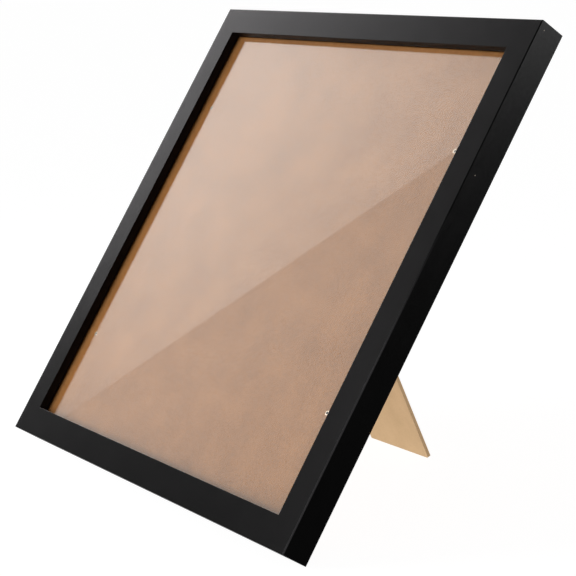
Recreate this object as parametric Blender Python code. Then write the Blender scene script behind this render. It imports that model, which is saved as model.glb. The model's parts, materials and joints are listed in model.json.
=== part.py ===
"""Square easel-back photo frame: black mitred moulding, glass, hardboard back and a hinged leg.

Every piece is modelled in the frame's own upright axes. X runs across the frame from its middle, Y runs
from the front face towards the back, and Z runs up from the bottom edge. The whole frame then leans back
until its bottom back edge and the foot of the open leg both stand on z = 0. Sizes are in metres.
"""

import math

import bmesh
import bpy
from mathutils import Matrix, Vector

# Moulding
FRAME_WIDTH = 0.330
FRAME_HEIGHT = 0.330
FACE_WIDTH = 0.0187
RABBET_WIDTH = 0.0072
LIP_THICKNESS = 0.0059
RECESS_DEPTH = 0.0070
KERF_DEPTH = 0.0045
FRONT_EDGE_RADIUS = 0.0006
LIP_EDGE_RADIUS = 0.0002

# Glass and back panel
GLASS_THICKNESS = 0.0013
BOARD_THICKNESS = 0.0032
PANEL_SIDE_CLEARANCE = 0.0011

# Clearances between pieces that touch, turn or slide
TOUCH_GAP = 0.0003
PIVOT_CLEARANCE = 0.0003
KERF_SIDE_CLEARANCE = 0.0005
KERF_END_CLEARANCE = 0.0015
CUT_OVERRUN = 0.0010

# Nails across the mitres
NAIL_LEG_LENGTH = 0.0042
NAIL_THICKNESS = 0.0005
NAIL_HEIGHT = 0.0070
NAIL_SINK = 0.0003

# Turn buttons; each one's height is a share of the board's height, because they were set by hand
BUTTON_WIDTH = 0.0120
BUTTON_TIP_WIDTH = 0.0090
BUTTON_THICKNESS = 0.0010
BUTTON_SETBACK = 0.0164
BUTTON_HEIGHT_SHARES = {
    "upper_left": 0.797,
    "lower_left": 0.221,
    "lower_right": 0.225,
    "upper_right": 0.769,
}

# Tubular rivets that hold the turn buttons
RIVET_SHANK_RADIUS = 0.0012
RIVET_WALL = 0.0004
RIVET_BORE_DEPTH = 0.0022
RIVET_FLARE = 0.0004
RIVET_FLARE_THICKNESS = 0.0006
RIVET_HEAD_OVERHANG = 0.0018
RIVET_HEAD_THICKNESS = 0.0008

# Hinge of the leg
SHEET_THICKNESS = 0.0008
PIN_RADIUS = 0.0010
PIN_HEAD_OVERHANG = 0.0006
PIN_HEAD_THICKNESS = 0.0006
EAR_WALL = 0.0011
LEG_PLATE_INSET = 0.0025
LEG_PLATE_LENGTH = 0.0160
BOARD_PLATE_LENGTH = 0.0160
FASTENER_EDGE_DISTANCE = 0.0055

# Rivets through the leg, and tacks in the board
LEG_RIVET_RADIUS = 0.0012
LEG_RIVET_HEAD_OVERHANG = 0.0013
LEG_RIVET_HEAD_THICKNESS = 0.0006
TACK_RADIUS = 0.0008
TACK_HEAD_OVERHANG = 0.0014
TACK_HEAD_THICKNESS = 0.0006
TACK_SKIN = 0.0006

# Leg; its length runs from the pin to the foot
LEG_LENGTH = 0.1986
LEG_THICKNESS = 0.0025
LEG_FOOT_WIDTH = 0.0627
LEG_HEAD_WIDTH = 0.0350
LEG_CORNER_RADIUS = 0.0010
LEG_FOOT_CLEARANCE = 0.0049
LEG_OPEN_ANGLE = math.radians(55.3)

# Facets on round shapes, and the angle past which an edge stays sharp
ROUND_SIDES = 24
ARC_STEPS = 8
EDGE_STEPS = 3
CORNER_STEPS = 4
SHARP_ANGLE = math.radians(35)

# Layers from the front face to the back
GLASS_FRONT = LIP_THICKNESS + TOUCH_GAP
GLASS_BACK = GLASS_FRONT + GLASS_THICKNESS
BOARD_FRONT = GLASS_BACK + TOUCH_GAP
BOARD_BACK = BOARD_FRONT + BOARD_THICKNESS
FRAME_DEPTH = BOARD_BACK + RECESS_DEPTH

# The moulding's wall behind the lip, and the panels between those walls
WALL_THICKNESS = FACE_WIDTH - RABBET_WIDTH
WALL_X = FRAME_WIDTH / 2 - WALL_THICKNESS
PANEL_HALF_WIDTH = WALL_X - PANEL_SIDE_CLEARANCE
PANEL_BOTTOM = WALL_THICKNESS + PANEL_SIDE_CLEARANCE
PANEL_HEIGHT = FRAME_HEIGHT - 2 * PANEL_BOTTOM

# Turn buttons lie on the board and reach into the stiles' grooves
BUTTON_FRONT = BOARD_BACK + TOUCH_GAP
BUTTON_BACK = BUTTON_FRONT + BUTTON_THICKNESS
KERF_FRONT = BUTTON_FRONT - KERF_SIDE_CLEARANCE
KERF_BACK = BUTTON_BACK + KERF_SIDE_CLEARANCE
RIVET_X = PANEL_HALF_WIDTH - BUTTON_SETBACK
BUTTON_REACH = WALL_X + KERF_DEPTH - KERF_END_CLEARANCE - RIVET_X

# Hinge pin: it stands off the board by the ears' radius, where the folded leg clears the bottom rail
EAR_RADIUS = PIN_RADIUS + PIVOT_CLEARANCE + EAR_WALL
PIN_STANDOFF = EAR_RADIUS + TOUCH_GAP
PIN_DEPTH = BOARD_BACK + TOUCH_GAP + SHEET_THICKNESS + PIN_STANDOFF
PIN_HEIGHT = WALL_THICKNESS + LEG_FOOT_CLEARANCE + LEG_LENGTH
LEG_HEAD_DROP = EAR_RADIUS + TOUCH_GAP

# Layers of the folded leg, measured back from the pin's axis
LEG_PLATE_INNER = PIN_RADIUS + PIVOT_CLEARANCE
LEG_PLATE_OUTER = LEG_PLATE_INNER + SHEET_THICKNESS
LEG_OUTER = LEG_PLATE_INNER - TOUCH_GAP
LEG_INNER = LEG_OUTER - LEG_THICKNESS

# The leg's plate turns between the ears of the board's plate
LEG_PLATE_HALF_WIDTH = LEG_HEAD_WIDTH / 2 - LEG_PLATE_INSET
BOARD_EAR_X = LEG_PLATE_HALF_WIDTH + TOUCH_GAP
BOARD_PLATE_HALF_WIDTH = BOARD_EAR_X + SHEET_THICKNESS

# The heel of the leg's plate runs past the pin far enough to meet the board's plate at the open angle
HEEL_REACH = PIN_STANDOFF - TOUCH_GAP + LEG_PLATE_INNER * math.cos(LEG_OPEN_ANGLE)
HEEL_LENGTH = HEEL_REACH / math.sin(LEG_OPEN_ANGLE)

# The foot of the open leg, and the lean that sets it level with the frame's bottom back edge
FOOT_DEPTH = PIN_DEPTH + LEG_INNER * math.cos(LEG_OPEN_ANGLE) + LEG_LENGTH * math.sin(LEG_OPEN_ANGLE)
FOOT_HEIGHT = PIN_HEIGHT + LEG_INNER * math.sin(LEG_OPEN_ANGLE) - LEG_LENGTH * math.cos(LEG_OPEN_ANGLE)
LEAN = math.atan2(FOOT_HEIGHT, FOOT_DEPTH - FRAME_DEPTH)

# Finishes: name, base colour, roughness and metallic value
BLACK_FOIL = ("black_foil", (0.010, 0.010, 0.0105), 0.42, 0.0)
CLEAR_GLASS = ("clear_glass", (0.86, 0.93, 0.90), 0.03, 0.0)
HARDBOARD = ("hardboard", (0.38, 0.19, 0.065), 0.75, 0.0)
LEG_BOARD = ("leg_board", (0.60, 0.42, 0.24), 0.80, 0.0)
ZINC_STEEL = ("zinc_steel", (0.62, 0.62, 0.60), 0.32, 1.0)
NAIL_STEEL = ("nail_steel", (0.42, 0.42, 0.43), 0.40, 1.0)

ACROSS = Vector((1, 0, 0))
BACKWARD = Vector((0, 1, 0))
SIDES = {"left": -1, "right": 1}
LEVELS = {"lower": -1, "upper": 1}


def clear_scene():
    """Remove every object that the file holds."""
    for item in list(bpy.data.objects):
        bpy.data.objects.remove(item, do_unlink=True)


def finish_material(finish, node_name):
    """Return a Principled material of its own for one piece."""
    name, colour, roughness, metallic = finish
    material = bpy.data.materials.new(f"{name}_{node_name}")
    material.use_nodes = True
    shader = material.node_tree.nodes["Principled BSDF"]
    shader.inputs["Base Color"].default_value = (*colour, 1)
    shader.inputs["Roughness"].default_value = roughness
    shader.inputs["Metallic"].default_value = metallic
    return material


def link_piece(name, shape, parent, finish=None, smooth=False):
    """Turn a bmesh into a named object under parent, with its faces pointing out."""
    bmesh.ops.recalc_face_normals(shape, faces=shape.faces)
    mesh = bpy.data.meshes.new(name)
    shape.to_mesh(mesh)
    shape.free()
    if smooth:
        mesh.shade_smooth()
        mesh.set_sharp_from_angle(angle=SHARP_ANGLE)
    piece = bpy.data.objects.new(name, mesh)
    bpy.context.scene.collection.objects.link(piece)
    piece.parent = parent
    if finish is not None:
        mesh.materials.append(finish_material(finish, name))
    return piece


def link_tool(name, shape, parent):
    """Link a shape that only cuts or joins, and is neither rendered nor built."""
    tool = link_piece(name, shape, parent)
    tool.hide_render = True
    tool.display_type = "WIRE"
    return tool


def add_empty(name, parent, location, rotation_x=0):
    """Add an empty that carries pieces, turned about X."""
    empty = bpy.data.objects.new(name, None)
    empty.empty_display_size = FACE_WIDTH
    bpy.context.scene.collection.objects.link(empty)
    empty.parent = parent
    empty.location = location
    empty.rotation_euler = (rotation_x, 0, 0)
    return empty


def combine(piece, tool, operation):
    """Cut tool from piece, or join it to piece, with an exact Boolean."""
    modifier = piece.modifiers.new(tool.name, "BOOLEAN")
    modifier.operation = operation
    modifier.solver = "EXACT"
    modifier.object = tool


def arc(centre, radius, start, end, steps):
    """Points on an arc in a plane, from the start angle to the end angle in radians."""
    points = []
    for step in range(steps + 1):
        angle = start + (end - start) * step / steps
        points.append((centre[0] + radius * math.cos(angle), centre[1] + radius * math.sin(angle)))
    return points


def rectangle(low_a, high_a, low_b, high_b):
    """Corners of a rectangle, in order."""
    return [(low_a, low_b), (high_a, low_b), (high_a, high_b), (low_a, high_b)]


def facing(a, b, level):
    """Place an outline drawn across and up the frame, with its level along the depth."""
    return Vector((a, level, b))


def sideways(a, b, level):
    """Place an outline drawn in depth and height, with its level across the frame."""
    return Vector((level, a, b))


def bridge_ends(shape, start, end):
    """Close two matching rings of vertices into a solid."""
    shape.faces.new(start)
    shape.faces.new(reversed(end))
    count = len(start)
    for index in range(count):
        after = (index + 1) % count
        shape.faces.new((start[index], end[index], end[after], start[after]))


def prism(outline, place, low, high):
    """Extrude an outline between two levels; place(a, b, level) sets each corner."""
    shape = bmesh.new()
    start = [shape.verts.new(place(a, b, low)) for a, b in outline]
    end = [shape.verts.new(place(a, b, high)) for a, b in outline]
    bridge_ends(shape, start, end)
    return shape


def turned(profile, axis):
    """Spin a (radius, level) profile round an axis; its first and last radius are zero."""
    shape = bmesh.new()
    turn = Vector((0, 0, 1)).rotation_difference(axis).to_matrix()
    rings = []
    for radius, level in profile:
        if radius == 0:
            rings.append([shape.verts.new(turn @ Vector((0, 0, level)))])
            continue
        circle = arc((0, 0), radius, 0, 2 * math.pi, ROUND_SIDES)[:-1]
        rings.append([shape.verts.new(turn @ Vector((x, y, level))) for x, y in circle])
    for lower, upper in zip(rings, rings[1:]):
        for side in range(ROUND_SIDES):
            after = (side + 1) % ROUND_SIDES
            if len(lower) == 1:
                shape.faces.new((lower[0], upper[side], upper[after]))
            elif len(upper) == 1:
                shape.faces.new((lower[side], upper[0], lower[after]))
            else:
                shape.faces.new((lower[side], upper[side], upper[after], lower[after]))
    return shape


def headed_pin(shank, heads, start, end, head_thickness, start_headed=True):
    """Profile of a pin from start to end, headed past its end and, if asked, past its start."""
    opening = [(0, start), (shank, start)]
    if start_headed:
        outer = start - head_thickness
        opening = [(0, outer), (heads, outer), (heads, start), (shank, start)]
    return opening + [(shank, end), (heads, end), (heads, end + head_thickness), (0, end + head_thickness)]


def round_hole(radius, start, end):
    """Profile of a plain round cutter."""
    return [(0, start), (radius, start), (radius, end), (0, end)]


def moulding_section():
    """Outline of the moulding: distance in from the frame's outer edge, and depth from its face."""
    radius, lip_radius = FRONT_EDGE_RADIUS, LIP_EDGE_RADIUS
    outer_edge = arc((radius, radius), radius, math.pi, 1.5 * math.pi, EDGE_STEPS)
    lip_middle = (FACE_WIDTH - lip_radius, lip_radius)
    inner_edge = arc(lip_middle, lip_radius, 1.5 * math.pi, 2 * math.pi, EDGE_STEPS)
    kerf_floor = WALL_THICKNESS - KERF_DEPTH
    return [
        *outer_edge,
        *inner_edge,
        (FACE_WIDTH, LIP_THICKNESS),
        (WALL_THICKNESS, LIP_THICKNESS),
        (WALL_THICKNESS, KERF_FRONT),
        (kerf_floor, KERF_FRONT),
        (kerf_floor, KERF_BACK),
        (WALL_THICKNESS, KERF_BACK),
        (WALL_THICKNESS, FRAME_DEPTH),
        (0, FRAME_DEPTH),
    ]


def moulding_length(name, parent, half_length, place):
    """One mitred length of moulding; place(along, inward, depth) sets it on its side of the frame."""
    mitre_gap = TOUCH_GAP / math.sqrt(2)
    shape = bmesh.new()
    ends = []
    for direction in (-1, 1):
        ring = []
        for inward, depth in moulding_section():
            along = direction * (half_length - inward - mitre_gap)
            ring.append(shape.verts.new(place(along, inward, depth)))
        ends.append(ring)
    bridge_ends(shape, *ends)
    return link_piece(name, shape, parent, BLACK_FOIL)


def nail_outline(clearance):
    """The V of a corner nail in the solid wall, from the frame's outer corner, grown by a clearance."""
    solid_wall = WALL_THICKNESS - KERF_DEPTH
    apex = (solid_wall - NAIL_LEG_LENGTH) / 2
    low = apex - clearance
    elbow = apex + NAIL_THICKNESS + clearance
    tip = apex + NAIL_LEG_LENGTH + clearance
    return [(low, low), (tip, low), (tip, elbow), (elbow, elbow), (elbow, tip), (low, tip)]


def build_moulding(parent):
    """The four mitred lengths and the nails that hold their corners."""
    half_width = FRAME_WIDTH / 2
    half_height = FRAME_HEIGHT / 2
    lengths = {}
    for level, sign in LEVELS.items():
        name = {"lower": "bottom_rail", "upper": "top_rail"}[level]

        def on_rail(along, inward, depth, sign=sign):
            return Vector((along, depth, half_height + sign * (half_height - inward)))

        lengths[level] = moulding_length(name, parent, half_width, on_rail)
    for side, sign in SIDES.items():

        def on_stile(along, inward, depth, sign=sign):
            return Vector((sign * (half_width - inward), depth, half_height + along))

        lengths[side] = moulding_length(f"{side}_stile", parent, half_height, on_stile)

    nail_back = FRAME_DEPTH - NAIL_SINK
    nail_front = nail_back - NAIL_HEIGHT
    for level, level_sign in LEVELS.items():
        for side, side_sign in SIDES.items():

            def at_corner(a, b, depth, side_sign=side_sign, level_sign=level_sign):
                x = side_sign * (half_width - a)
                return Vector((x, depth, half_height + level_sign * (half_height - b)))

            nail = prism(nail_outline(0), at_corner, nail_front, nail_back)
            link_piece(f"corner_nail_{level}_{side}", nail, parent, NAIL_STEEL)
            pocket_back = FRAME_DEPTH + CUT_OVERRUN
            pocket = prism(nail_outline(TOUCH_GAP), at_corner, nail_front - TOUCH_GAP, pocket_back)
            tool = link_tool(f"nail_pocket_{level}_{side}", pocket, parent)
            combine(lengths[side], tool, "DIFFERENCE")
            combine(lengths[level], tool, "DIFFERENCE")


def build_panels(parent):
    """The glass and the backing board, square in the rabbet; returns the board."""
    outline = rectangle(
        -PANEL_HALF_WIDTH, PANEL_HALF_WIDTH, PANEL_BOTTOM, PANEL_BOTTOM + PANEL_HEIGHT
    )
    link_piece("glass_pane", prism(outline, facing, GLASS_FRONT, GLASS_BACK), parent, CLEAR_GLASS)
    return link_piece("backing_board", prism(outline, facing, BOARD_FRONT, BOARD_BACK), parent, HARDBOARD)


def button_rivet():
    """A tubular rivet from the board's front back: flared ring, bored shank and bevelled head."""
    bore = RIVET_SHANK_RADIUS - RIVET_WALL
    flare = RIVET_SHANK_RADIUS + RIVET_FLARE
    head = RIVET_SHANK_RADIUS + RIVET_HEAD_OVERHANG
    flare_back = BOARD_FRONT + RIVET_FLARE_THICKNESS
    head_front = BUTTON_BACK + TOUCH_GAP
    head_back = head_front + RIVET_HEAD_THICKNESS
    profile = [
        (0, BOARD_FRONT + RIVET_BORE_DEPTH),
        (bore, BOARD_FRONT + RIVET_BORE_DEPTH),
        (bore, BOARD_FRONT),
        (flare, BOARD_FRONT),
        (flare, flare_back),
        (RIVET_SHANK_RADIUS, flare_back),
        (RIVET_SHANK_RADIUS, head_front),
        (head, head_front),
        (head, head_front + RIVET_HEAD_THICKNESS / 2),
        (head - RIVET_HEAD_THICKNESS, head_back),
        (0, head_back),
    ]
    return turned(profile, BACKWARD)


def rivet_hole():
    """A stepped hole for the rivet through board and button: wide for its flare, close on its shank."""
    shank = RIVET_SHANK_RADIUS + PIVOT_CLEARANCE
    flare = RIVET_SHANK_RADIUS + RIVET_FLARE + PIVOT_CLEARANCE
    front = BOARD_FRONT - CUT_OVERRUN
    step = BOARD_FRONT + RIVET_FLARE_THICKNESS + TOUCH_GAP
    back = BUTTON_BACK + CUT_OVERRUN
    profile = [(0, front), (flare, front), (flare, step), (shank, step), (shank, back), (0, back)]
    return turned(profile, BACKWARD)


def button_outline():
    """A turn button seen from behind: a round end about the rivet, tapering to a round tip at +X."""
    wide = BUTTON_WIDTH / 2
    narrow = BUTTON_TIP_WIDTH / 2
    tip_centre = BUTTON_REACH - narrow
    tangent = math.acos((wide - narrow) / tip_centre)
    tail = arc((0, 0), wide, tangent, 2 * math.pi - tangent, 2 * ARC_STEPS)
    tip = arc((tip_centre, 0), narrow, -tangent, tangent, ARC_STEPS)
    return tail + tip


def build_buttons(parent, board):
    """Four turn buttons, each turning on its rivet, with their tips in the stiles' grooves."""
    for place, height_share in BUTTON_HEIGHT_SHARES.items():
        sign = SIDES[place.split("_")[1]]
        height = PANEL_BOTTOM + height_share * PANEL_HEIGHT
        pivot = add_empty(f"button_pivot_{place}", parent, (sign * RIVET_X, 0, height))
        link_piece(f"button_rivet_{place}", button_rivet(), pivot, ZINC_STEEL, smooth=True)

        def outward(a, b, depth, sign=sign):
            return Vector((sign * a, depth, b))

        plate = prism(button_outline(), outward, BUTTON_FRONT, BUTTON_BACK)
        button = link_piece(f"turn_button_{place}", plate, pivot, ZINC_STEEL)
        hole = link_tool(f"rivet_hole_{place}", rivet_hole(), pivot)
        combine(button, hole, "DIFFERENCE")
        combine(board, hole, "DIFFERENCE")


def hinge_plate(name, parent, flat, ear, half_width, ear_starts, pin_hole):
    """A flat hinge plate with an ear at each side, drilled for the pin."""
    piece = link_piece(name, prism(flat, sideways, -half_width, half_width), parent, ZINC_STEEL)
    for side, start in zip(SIDES, ear_starts):
        tool = link_tool(f"{name}_ear_{side}", prism(ear, sideways, start, start + SHEET_THICKNESS), parent)
        combine(piece, tool, "UNION")
    combine(piece, pin_hole, "DIFFERENCE")
    return piece


def build_pin(axis):
    """The hinge pin, headed at both ends."""
    end = BOARD_PLATE_HALF_WIDTH + PIVOT_CLEARANCE
    profile = headed_pin(PIN_RADIUS, PIN_RADIUS + PIN_HEAD_OVERHANG, -end, end, PIN_HEAD_THICKNESS)
    link_piece("hinge_pin", turned(profile, ACROSS), axis, ZINC_STEEL, smooth=True)


def build_board_plate(axis, pin_hole, board):
    """The board's hinge plate, and the tacks that hold it and stop short of the board's front."""
    plate_front = -PIN_STANDOFF - SHEET_THICKNESS
    ear_root = -PIN_STANDOFF - SHEET_THICKNESS / 2
    ear = [
        (ear_root, -EAR_RADIUS),
        *arc((0, 0), EAR_RADIUS, -math.pi / 2, math.pi / 2, ARC_STEPS),
        (ear_root, EAR_RADIUS),
    ]
    plate = hinge_plate(
        "hinge_board_plate",
        axis,
        rectangle(plate_front, -PIN_STANDOFF, -EAR_RADIUS, BOARD_PLATE_LENGTH),
        ear,
        BOARD_PLATE_HALF_WIDTH,
        (-BOARD_PLATE_HALF_WIDTH, BOARD_EAR_X),
        pin_hole,
    )
    tack_x = BOARD_PLATE_HALF_WIDTH - FASTENER_EDGE_DISTANCE
    tack_z = BOARD_PLATE_LENGTH - FASTENER_EDGE_DISTANCE
    head_front = -PIN_STANDOFF + TOUCH_GAP
    point = BOARD_FRONT + TACK_SKIN + TOUCH_GAP - PIN_DEPTH
    head = TACK_RADIUS + TACK_HEAD_OVERHANG
    tack = headed_pin(TACK_RADIUS, head, point, head_front, TACK_HEAD_THICKNESS, start_headed=False)
    hole = round_hole(TACK_RADIUS + TOUCH_GAP, point - TOUCH_GAP, head_front)
    for side, sign in SIDES.items():
        place = add_empty(f"tack_place_{side}", axis, (sign * tack_x, 0, tack_z))
        link_piece(f"board_tack_{side}", turned(tack, BACKWARD), place, ZINC_STEEL, smooth=True)
        tool = link_tool(f"tack_hole_{side}", turned(hole, BACKWARD), place)
        combine(plate, tool, "DIFFERENCE")
        combine(board, tool, "DIFFERENCE")


def leg_outline():
    """The folded leg seen from behind: its head below the pin, its foot eased at the corners."""
    head = LEG_HEAD_WIDTH / 2
    foot = LEG_FOOT_WIDTH / 2
    radius = LEG_CORNER_RADIUS
    slope = math.atan2(foot - head, LEG_LENGTH - LEG_HEAD_DROP)
    inset = radius * (1 + math.sin(slope)) / math.cos(slope)
    corner = arc((foot - inset, radius - LEG_LENGTH), radius, slope, -math.pi / 2, CORNER_STEPS)
    right = [(head, -LEG_HEAD_DROP), *corner]
    return right + [(-x, z) for x, z in reversed(right)]


def build_leg(swing, pin_hole):
    """The leg, its hinge plate with the stop heel, and the two rivets that hold them together."""
    leg = link_piece("easel_leg", prism(leg_outline(), facing, LEG_INNER, LEG_OUTER), swing, LEG_BOARD)
    plate_end = -LEG_HEAD_DROP - LEG_PLATE_LENGTH
    ear_root = LEG_PLATE_INNER + SHEET_THICKNESS / 2
    ear = [
        (ear_root, EAR_RADIUS),
        *arc((0, 0), EAR_RADIUS, math.pi / 2, 1.5 * math.pi, ARC_STEPS),
        (ear_root, -EAR_RADIUS),
    ]
    plate = hinge_plate(
        "hinge_leg_plate",
        swing,
        rectangle(LEG_PLATE_INNER, LEG_PLATE_OUTER, plate_end, HEEL_LENGTH),
        ear,
        LEG_PLATE_HALF_WIDTH,
        (-LEG_PLATE_HALF_WIDTH, LEG_PLATE_HALF_WIDTH - SHEET_THICKNESS),
        pin_hole,
    )
    rivet_x = LEG_PLATE_HALF_WIDTH - FASTENER_EDGE_DISTANCE
    rivet_z = plate_end + FASTENER_EDGE_DISTANCE
    start = LEG_INNER - TOUCH_GAP
    end = LEG_PLATE_OUTER + TOUCH_GAP
    head = LEG_RIVET_RADIUS + LEG_RIVET_HEAD_OVERHANG
    rivet = headed_pin(LEG_RIVET_RADIUS, head, start, end, LEG_RIVET_HEAD_THICKNESS)
    hole = round_hole(LEG_RIVET_RADIUS + TOUCH_GAP, start - CUT_OVERRUN, end + CUT_OVERRUN)
    for side, sign in SIDES.items():
        place = add_empty(f"leg_rivet_place_{side}", swing, (sign * rivet_x, 0, rivet_z))
        link_piece(f"leg_rivet_{side}", turned(rivet, BACKWARD), place, ZINC_STEEL, smooth=True)
        tool = link_tool(f"leg_rivet_hole_{side}", turned(hole, BACKWARD), place)
        combine(leg, tool, "DIFFERENCE")
        combine(plate, tool, "DIFFERENCE")


def build_hinge(parent, board):
    """The hinge on the board, its pin, and the leg swung open to its stop."""
    axis = add_empty("leg_axis", parent, (0, PIN_DEPTH, PIN_HEIGHT))
    swing = add_empty("leg_swing", axis, (0, 0, 0), LEG_OPEN_ANGLE)
    reach = BOARD_PLATE_HALF_WIDTH + CUT_OVERRUN
    hole = turned(round_hole(PIN_RADIUS + PIVOT_CLEARANCE, -reach, reach), ACROSS)
    pin_hole = link_tool("pin_hole", hole, axis)
    build_pin(axis)
    build_board_plate(axis, pin_hole, board)
    build_leg(swing, pin_hole)


def lean_frame():
    """An empty that leans the frame onto its foot and centres it front to back over the origin."""
    turn = Matrix.Rotation(-LEAN, 3, "X")
    top_back = turn @ Vector((0, FRAME_DEPTH, FRAME_HEIGHT))
    base_back = turn @ Vector((0, FRAME_DEPTH, 0))
    heel_depth = FOOT_DEPTH + LEG_THICKNESS * math.cos(LEG_OPEN_ANGLE)
    heel_height = FOOT_HEIGHT + LEG_THICKNESS * math.sin(LEG_OPEN_ANGLE)
    foot_back = turn @ Vector((0, heel_depth, heel_height))
    front_y = FRONT_EDGE_RADIUS * (math.cos(LEAN) + math.sin(LEAN) - 1)
    middle_y = (front_y + max(foot_back.y, top_back.y)) / 2
    return add_empty("frame_lean", None, (0, -middle_y, -base_back.z), -LEAN)


def main():
    """Build every piece under the empty that leans the frame."""
    clear_scene()
    frame = lean_frame()
    build_moulding(frame)
    board = build_panels(frame)
    build_buttons(frame, board)
    build_hinge(frame, board)
    bpy.context.view_layer.update()


main()
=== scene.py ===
"""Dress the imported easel-back photo frame: rounded mouldings, fixings, finishes and studio light.

Sizes are in metres. Pieces are drawn in the frame's own upright axes, with X across from the middle, Y back
from the front face and Z up from the bottom edge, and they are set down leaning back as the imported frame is.
"""

import json
import logging
import math
from dataclasses import dataclass
from enum import Enum

import bmesh
import bpy
from mathutils import Matrix, Vector


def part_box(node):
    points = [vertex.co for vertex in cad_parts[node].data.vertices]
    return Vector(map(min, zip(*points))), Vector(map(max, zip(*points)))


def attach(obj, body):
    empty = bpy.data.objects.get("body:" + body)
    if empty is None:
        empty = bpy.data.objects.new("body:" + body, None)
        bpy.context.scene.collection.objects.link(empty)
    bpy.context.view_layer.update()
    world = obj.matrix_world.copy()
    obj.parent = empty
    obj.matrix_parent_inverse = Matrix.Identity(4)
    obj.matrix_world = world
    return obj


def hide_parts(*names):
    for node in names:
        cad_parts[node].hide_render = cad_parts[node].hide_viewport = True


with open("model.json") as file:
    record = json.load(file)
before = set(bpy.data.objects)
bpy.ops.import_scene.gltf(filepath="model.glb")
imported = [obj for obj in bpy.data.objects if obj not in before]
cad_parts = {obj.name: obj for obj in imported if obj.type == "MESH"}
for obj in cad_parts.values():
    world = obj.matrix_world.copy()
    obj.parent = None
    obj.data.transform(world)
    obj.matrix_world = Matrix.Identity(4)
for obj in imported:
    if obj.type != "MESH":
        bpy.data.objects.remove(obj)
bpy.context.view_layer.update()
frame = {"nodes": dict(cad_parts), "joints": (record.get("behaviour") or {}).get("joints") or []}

LOG = logging.getLogger("easel_frame")
SMOOTH_ANGLE = math.radians(38)
FRAME_MIDDLE = 0.165
WELD_DISTANCE = 2e-6
HEAD_RIM_SHARE = 0.25
HEAD_EASE = 0.00008
HEAD_FACETS = 9
PICTURE_SIZE = 576
NOISE_ROUGHNESS = 0.55
# The parts of a noise's range over which a tone and a gloss are spread.
TONE_ENDS = (0.35, 0.65)
GLOSS_ENDS = (0.3, 0.7)
Colour = tuple[float, float, float]
Outline = list[tuple[float, float]]


class Side(Enum):
    """The four sides of the moulding, by the node that each one stands for."""

    TOP = "top_rail"
    BOTTOM = "bottom_rail"
    LEFT = "left_stile"
    RIGHT = "right_stile"


class Corner(Enum):
    """The four corners of the frame, as the nodes name them."""

    UPPER_LEFT = "upper_left"
    LOWER_LEFT = "lower_left"
    LOWER_RIGHT = "lower_right"
    UPPER_RIGHT = "upper_right"


class Body(Enum):
    """The moving bodies that carry more than a turn button."""

    FRAME = "frame"
    LEG = "leg"


class SizeKind(Enum):
    """The kinds of named input that a geometry tree may have."""

    LENGTH = "NodeSocketFloat"
    COUNT = "NodeSocketInt"
    VECTOR = "NodeSocketVector"
    MATERIAL = "NodeSocketMaterial"
    OBJECT = "NodeSocketObject"


@dataclass(frozen=True)
class Axes:
    """Axes tilted about X, such as those of the leaning frame or of the open leg."""

    tilt: float
    origin: Vector

    def direction(self, x: float, y: float, z: float) -> Vector:
        """Turn a direction given in these axes into the model's."""
        return Matrix.Rotation(self.tilt, 3, "X") @ Vector((x, y, z))

    def point(self, x: float, y: float, z: float) -> Vector:
        """Turn a point given in these axes into the model's."""
        return self.direction(x, y, z) + self.origin

    def mapping(self) -> tuple[Vector, Vector]:
        """Give the rotation and location with which a Mapping node leads back to these axes."""
        back = Matrix.Rotation(-self.tilt, 3, "X")
        return Vector((-self.tilt, 0, 0)), -(back @ self.origin)


def joint_row(name: str) -> dict:
    """Give a joint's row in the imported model."""
    return next(joint for joint in frame["joints"] if joint["name"] == name)


def frame_tilt() -> float:
    """Find how far the frame leans, from the axis of a turn button."""
    axis = joint_row("upper_left_turn")["axis"]
    return math.atan2(axis[2], axis[1])


def leaning_axes(glass_depth: float) -> Axes:
    """Find the leaning frame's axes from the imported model.

    Args:
        glass_depth: how far the middle of the glass lies behind the front face.

    Returns:
        The axes in which the frame stands upright.
    """
    tilt = frame_tilt()
    low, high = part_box("glass_pane")
    middle = (Vector(low) + Vector(high)) / 2
    upright = Axes(tilt, Vector((0, 0, 0)))
    return Axes(tilt, middle - upright.point(0, glass_depth, FRAME_MIDDLE))


def leg_axes() -> Axes:
    """Find the open leg's axes, with their origin on the hinge pin."""
    fold = joint_row("leg_fold")
    return Axes(frame_tilt() - math.radians(fold["range_deg"][0]), Vector(fold["pos_m"]))


def add_object(name: str, data: object) -> bpy.types.Object:
    """Add an object to the scene.

    Args:
        name: its name.
        data: its mesh, lamp or camera.

    Returns:
        The object.
    """
    item = bpy.data.objects.new(name, data)
    bpy.context.scene.collection.objects.link(item)
    return item


def mesh_from(shape: bmesh.types.BMesh, name: str) -> bpy.types.Mesh:
    """Turn a worked shape into a mesh.

    Args:
        shape: the worked shape, which is freed.
        name: the mesh's name.

    Returns:
        The mesh.
    """
    mesh = bpy.data.meshes.new(name)
    shape.to_mesh(mesh)
    shape.free()
    return mesh


def bridge(
    shape: bmesh.types.BMesh, near: list[bmesh.types.BMVert], far: list[bmesh.types.BMVert], closed: bool
) -> None:
    """Join two rows of points with faces.

    Args:
        shape: the worked shape.
        near: the first row.
        far: the second row, with as many points.
        closed: whether the ends of the rows are joined too.
    """
    count = len(near)
    for index in range(count if closed else count - 1):
        after = (index + 1) % count
        shape.faces.new((near[index], near[after], far[after], far[index]))


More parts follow.
